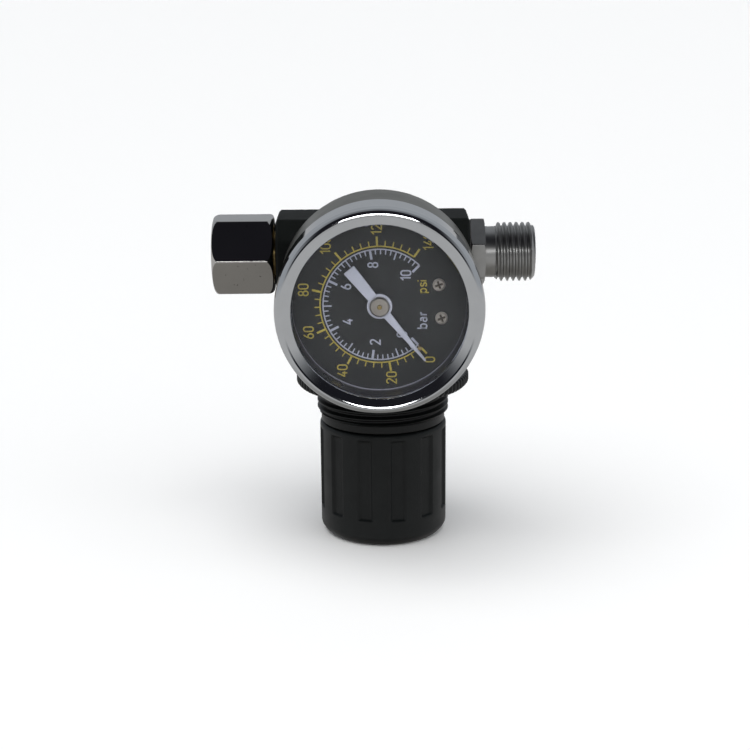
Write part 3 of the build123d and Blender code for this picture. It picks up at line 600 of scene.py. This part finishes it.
# Strokes of each character in a box 0.5 wide and 1 high: (closed, points).
GLYPHS = {
    "0": [(True, bend(0.24, 0.76, 0.24, 0.24, 0, 180) + bend(0.24, 0.24, 0.24, 0.24, 180, 360))],
    "1": [(False, [(0.06, 0.76), (0.30, 1.0), (0.30, 0.0)])],
    "2": [(False, bend(0.24, 0.75, 0.24, 0.25, 170, -35) + [(0.0, 0.0), (0.5, 0.0)])],
    "4": [(False, [(0.34, 1.0), (0.0, 0.28), (0.52, 0.28)]), (False, [(0.36, 0.52), (0.36, 0.0)])],
    "6": [(True, loop(0.24, 0.28, 0.24, 0.28)), (False, [(0.03, 0.42), (0.12, 0.66), (0.34, 1.0)])],
    "8": [(True, loop(0.24, 0.76, 0.21, 0.24)), (True, loop(0.24, 0.26, 0.24, 0.26))],
    "p": [(False, [(0.0, -0.28), (0.0, 0.64)]), (True, loop(0.23, 0.32, 0.23, 0.32))],
    "s": [(False, [(0.40, 0.52), (0.30, 0.64), (0.10, 0.64), (0.0, 0.52), (0.06, 0.38), (0.34, 0.27),
                   (0.40, 0.14), (0.30, 0.0), (0.10, 0.0), (0.0, 0.12)])],
    "i": [(False, [(0.0, 0.0), (0.0, 0.64)]), (False, [(0.0, 0.86), (0.0, 1.0)])],
    "b": [(False, [(0.0, 0.0), (0.0, 1.0)]), (True, loop(0.23, 0.32, 0.23, 0.32))],
    "a": [(True, loop(0.20, 0.19, 0.20, 0.19)),
          (False, [(0.42, 0.0), (0.42, 0.46), (0.32, 0.63), (0.08, 0.60)])],
    "r": [(False, [(0.0, 0.0), (0.0, 0.64)]), (False, [(0.0, 0.42), (0.10, 0.58), (0.28, 0.63)])],
}
GLYPH_WIDTHS = {"1": 0.34, "i": 0.0, "r": 0.28, "s": 0.40}


def lettering(text, centre, height, stroke, gap=0.22):
    """Characters turned a quarter anticlockwise, as on a gauge read with its knob to the side."""
    widths = [GLYPH_WIDTHS.get(c, 0.5) for c in text]
    x = -(sum(widths) + gap * (len(text) - 1)) / 2
    parts = []
    for c, width in zip(text, widths):
        for closed, points in GLYPHS[c]:
            spots = [(centre[0] - (py - 0.5) * height, centre[1] + (x + px) * height) for px, py in points]
            parts.append(ribbon(spots, stroke, closed))
        x += width + gap
    return parts


def tick(angle, r0, r1, width):
    return ribbon([polar(r0, angle), polar(r1, angle)], width)


yellow = [ribbon(arc(PSI_R, ZERO_MARK_DEG, bar_angle(140 / PSI_PER_BAR), 150), LINE)]
yellow.append(tick(ZERO_MARK_DEG, PSI_R, PSI_R + LONG_TICK, 0.42))
for step in range(1, 36):
    r_out, width = (PSI_R + LONG_TICK, 0.42) if step % 5 == 0 else (PSI_R + 1.15, 0.22)
    yellow.append(tick(bar_angle(4 * step / PSI_PER_BAR), PSI_R, r_out, width))

# Each number's middle on the dial.
PSI_NUMBERS = {"0": (10.35, -11.7), "20": (2.37, -15.54), "40": (-7.85, -13.93), "60": (-14.74, -5.72),
               "80": (-15.65, 3.3), "100": (-10.95, 12.5), "120": (-0.5, 16.4), "140": (10.1, 13.1)}
for text, centre in PSI_NUMBERS.items():
    yellow += lettering(text, centre, 2.0, 0.27)
yellow += lettering("psi", (8.75, 3.75), 1.85, 0.26)
solid("dial_print_psi", yellow, "regulator", "dial_paint", "print_yellow")

white = [ribbon(arc(BAR_R, ZERO_MARK_DEG, bar_angle(10), 160), LINE)]
white.append(tick(ZERO_MARK_DEG, BAR_R, BAR_R - LONG_TICK, 0.48))
for step in range(2, 51):
    kind = 2 if step % 10 == 0 else 1 if step % 5 == 0 else 0
    length, width = ((1.05, 0.24), (1.75, 0.28), (LONG_TICK, 0.48))[kind]
    white.append(tick(bar_angle(step / 5), BAR_R, BAR_R - length, width))
BAR_NUMBERS = {"0": (4.6, -6.3), "2": (-0.95, -7.85), "4": (-6.6, -3.45), "6": (-6.9, 3.9),
               "8": (-1.3, 8.4), "10": (5.45, 6.1)}
for text, centre in BAR_NUMBERS.items():
    white += lettering(text, centre, 2.0, 0.30)
white += lettering("bar", (8.75, -3.3), 2.0, 0.28)
solid("dial_print_bar", white, "regulator", "dial_paint", "print_white")

# Dial screws with a cross recess; a dark sheet in each recess is painted shade.
DIAL_SCREWS = [(12.24, 4.13), (12.79, -2.88)]
CROSS_TURN = math.radians(20)
CROSS_DEPTH, CROSS_HALF, CROSS_REACH, CROSS_WALL = 0.38, 0.17, 0.78, 0.10
HEAD_FOOT, HEAD_HEIGHT, HEAD_R, SHANK_R, SHANK_END = 0.02, 0.58, 1.3, 0.6, -2.6
HEAD_RADII = [0.01 + 0.055 * i for i in range(20)] + [1.1, 1.16, 1.21, 1.25, 1.28, HEAD_R, HEAD_R]


def screw_at(angle):
    column = []
    for i, r in enumerate(HEAD_RADII):
        a, b = abs(r * math.cos(angle - CROSS_TURN)), abs(r * math.sin(angle - CROSS_TURN))
        across, along = min(a, b), max(a, b)
        cut = 1 - smooth(CROSS_HALF, CROSS_HALF + CROSS_WALL, across)
        cut *= 1 - smooth(CROSS_REACH, CROSS_REACH + 0.12, along)
        dome = HEAD_HEIGHT - 0.06 * r - 0.30 * smooth(0.95, HEAD_R, r)
        column.append((r, HEAD_FOOT if i == len(HEAD_RADII) - 1 else dome - CROSS_DEPTH * cut))
    return column + [(SHANK_R, HEAD_FOOT), (SHANK_R, SHANK_END), (0.01, SHANK_END)]


# Outline and depth of the dark cross-shaped sheet laid in each recess as painted shade.
RECESS_FLOOR = 0.26
CROSS_ARM = [(0.82, -0.2), (0.82, 0.2), (0.2, 0.2)]      # one arm's end and the corner after it
for number, (screw_u, screw_v) in enumerate(DIAL_SCREWS):
    def at_screw(x, y, h, u=screw_u, v=screw_v):
        return on_dial(u + x, v + y, h)

    head = spun(screw_at, at_screw, even_angles(144))
    solid(f"dial_screw_{number + 1}", [head], "regulator", "zinc_steel", "screw_metal",
          ["dial_screws"] if number == 0 else (), crease=40)
    arms = []
    for quarter in range(4):
        c, s = math.cos(CROSS_TURN + quarter * TAU / 4), math.sin(CROSS_TURN + quarter * TAU / 4)
        arms += [(screw_u + a * c - b * s, screw_v + a * s + b * c) for a, b in CROSS_ARM]
    # Painted shade: a dark sheet, darker than the screw's metal, laid in the cross recess.
    recess = flat_piece(arms, DIAL_Y - RECESS_FLOOR, 0.12)
    solid(f"dial_screw_{number + 1}_recess", [recess], "regulator", "zinc_steel", "screw_recess")


# ---- pointer ---------------------------------------------------------------------------------
POINTER_DEG, REACH, TAIL, RING_R = -51.0, 14.9, 9.9, 2.6
HALF_TIP, HALF_TAIL, TAIL_CHAMFER, BLADE = 0.2, 1.33, 0.12, 0.5
outline = [(REACH, -HALF_TIP), (REACH + 0.1, 0.0), (REACH, HALF_TIP)] + arc(RING_R, 18.6, 156.4, 22)
outline += [(-TAIL + TAIL_CHAMFER, HALF_TAIL), (-TAIL, HALF_TAIL - TAIL_CHAMFER),
            (-TAIL, -HALF_TAIL + TAIL_CHAMFER), (-TAIL + TAIL_CHAMFER, -HALF_TAIL)]
outline += arc(RING_R, 203.6, 341.4, 22)
blade = flat_piece(outline, POINTER_Y - BLADE, BLADE, POINTER_DEG)
solid("pointer_blade", [blade], "pointer", "pointer_paint", replaces=["pointer"], bevel=0.07)
cap = lathe([(0.5, -33.3, 0.05), (1.75, -33.32, 0.15), (2.1, -33.05, 0.2), (2.1, -32.5, 0.1),
             (1.2, -32.5, 0.05), (1.2, -31.5, 0.1), (0.5, -31.5, 0.05)], about_gauge, 96)
solid("pointer_cap", [cap], "pointer", "brass", "hub_metal", ["pointer_hub"])


# ---- surroundings ----------------------------------------------------------------------------
scene = bpy.context.scene
scene.view_settings.view_transform = "Standard"
FLOOR_SIZE = 40
TABLE, TABLE_BELOW = (0.42, 0.42, 0.42), (0.19, 0.185, 0.175)
ROOM, DARK = (0.32, 0.335, 0.355), (0.010, 0.010, 0.013)


def pale_floor(size, colour):
    """Large staged plane under the object, with a slightly uneven sheen."""
    mesh = bpy.data.meshes.new("floor")
    h = size / 2
    mesh.from_pydata([(-h, -h, 0), (h, -h, 0), (h, h, 0), (-h, h, 0)], [], [(0, 1, 2, 3)])
    obj = bpy.data.objects.new("floor", mesh)
    scene.collection.objects.link(obj)
    mat = bpy.data.materials.new("floor")
    mat.use_nodes = True
    shader = mat.node_tree.nodes["Principled BSDF"]
    noise = mat.node_tree.nodes.new("ShaderNodeTexNoise")
    noise.inputs["Scale"].default_value = 3.0
    spread = mat.node_tree.nodes.new("ShaderNodeMapRange")
    spread.inputs["To Min"].default_value, spread.inputs["To Max"].default_value = 0.6, 0.7
    mat.node_tree.links.new(noise.outputs["Fac"], spread.inputs["Value"])
    mat.node_tree.links.new(spread.outputs["Result"], shader.inputs["Roughness"])
    shader.inputs["Base Color"].default_value = (*colour, 1)
    mesh.materials.append(mat)
    return obj


floor = pale_floor(FLOOR_SIZE, (0.945, 0.945, 0.94))
floor.visible_glossy = False

world = bpy.data.worlds.new("studio")
scene.world = world
world.use_nodes = True
world_nodes, world_links = world.node_tree.nodes, world.node_tree.links
direction = world_nodes.new("ShaderNodeTexCoord").outputs["Generated"]
split = world_nodes.new("ShaderNodeSeparateXYZ")
world_links.new(direction, split.inputs[0])


def step_between(value, low, high, out_low=0.0, out_high=1.0):
    made = world_nodes.new("ShaderNodeMapRange")
    made.interpolation_type = "SMOOTHSTEP"
    set_range(made, low, high, out_low, out_high)
    world_links.new(value, made.inputs["Value"])
    return made.outputs["Result"]


def product(*values):
    total = values[0]
    for value in values[1:]:
        made = world_nodes.new("ShaderNodeMath")
        made.operation = "MULTIPLY"
        world_links.new(total, made.inputs[0])
        world_links.new(value, made.inputs[1])
        total = made.outputs[0]
    return total


def tint(fac, base, colour):
    made = world_nodes.new("ShaderNodeMix")
    made.data_type = "RGBA"
    colours = [s for s in made.inputs if s.type == "RGBA"]
    if isinstance(base, tuple):
        colours[0].default_value = (*base, 1)
    else:
        world_links.new(base, colours[0])
    colours[1].default_value = (*colour, 1)
    world_links.new(fac, made.inputs["Factor"])
    return [s for s in made.outputs if s.type == "RGBA"][0]


# Grey room with a pale table below, which is darker right under the object, and a dark part of the
# room in front, above the table.
table = tint(step_between(split.outputs["Z"], -0.95, -0.50), TABLE_BELOW, TABLE)
above_table = step_between(split.outputs["Z"], -0.11, 0.04)
sky = tint(above_table, table, ROOM)
front = step_between(split.outputs["Y"], -0.15, 0.45, 1.0, 0.0)
sideways = world_nodes.new("ShaderNodeMath")
sideways.operation = "ABSOLUTE"
world_links.new(split.outputs["X"], sideways.inputs[0])
ahead = step_between(sideways.outputs[0], 0.45, 0.75, 1.0, 0.0)
sky = tint(product(front, above_table, ahead), sky, DARK)
background = world_nodes["Background"]
world_links.new(sky, background.inputs["Color"])
background.inputs["Strength"].default_value = 1.0


def place_light(light, name, centre, aim, glossy):
    obj = bpy.data.objects.new(name, light)
    scene.collection.objects.link(obj)
    obj.location = centre
    obj.rotation_euler = (Vector(centre) - Vector(aim)).to_track_quat("Z", "Y").to_euler()
    obj.visible_glossy = glossy


def soft_sun(name, towards, strength, degrees):
    light = bpy.data.lights.new(name, "SUN")
    light.energy, light.angle = strength, math.radians(degrees)
    place_light(light, name, towards, (0, 0, 0), False)


def area(name, centre, aim, size, power, glossy):
    light = bpy.data.lights.new(name, "AREA")
    light.shape = "RECTANGLE"
    light.size, light.size_y = size
    light.energy = power
    place_light(light, name, centre, aim, glossy)


soft_sun("key", (-0.25, -0.35, 1.0), 2.25, 60)
soft_sun("fill", (0.5, -0.8, 0.9), 1.2, 60)
area("flash", (0.0, -0.55, 0.20), (0, 0, 0.055), (0.21, 0.03), 0.17, True)


# ---- camera ----------------------------------------------------------------------------------
CAMERA_LEAN = 0.00925      # the camera's slight roll, as a slope
eye, target = Vector((-0.001546, -0.3529, 0.132756)), Vector((-0.00174, 0.0, 0.03662))
look = (target - eye).normalized()
right = look.cross(Vector((0, 0, 1))).normalized()
right = (right - CAMERA_LEAN * right.cross(look)).normalized()
up = right.cross(look)
lens = bpy.data.cameras.new("camera")
lens.lens, lens.sensor_width = 76.84, 36.0
lens.clip_start, lens.clip_end = 0.01, 50
camera = bpy.data.objects.new("camera", lens)
scene.collection.objects.link(camera)
camera.matrix_world = Matrix((
    (right.x, up.x, -look.x, eye.x), (right.y, up.y, -look.y, eye.y), (right.z, up.z, -look.z, eye.z),
    (0, 0, 0, 1)))
scene.camera = camera
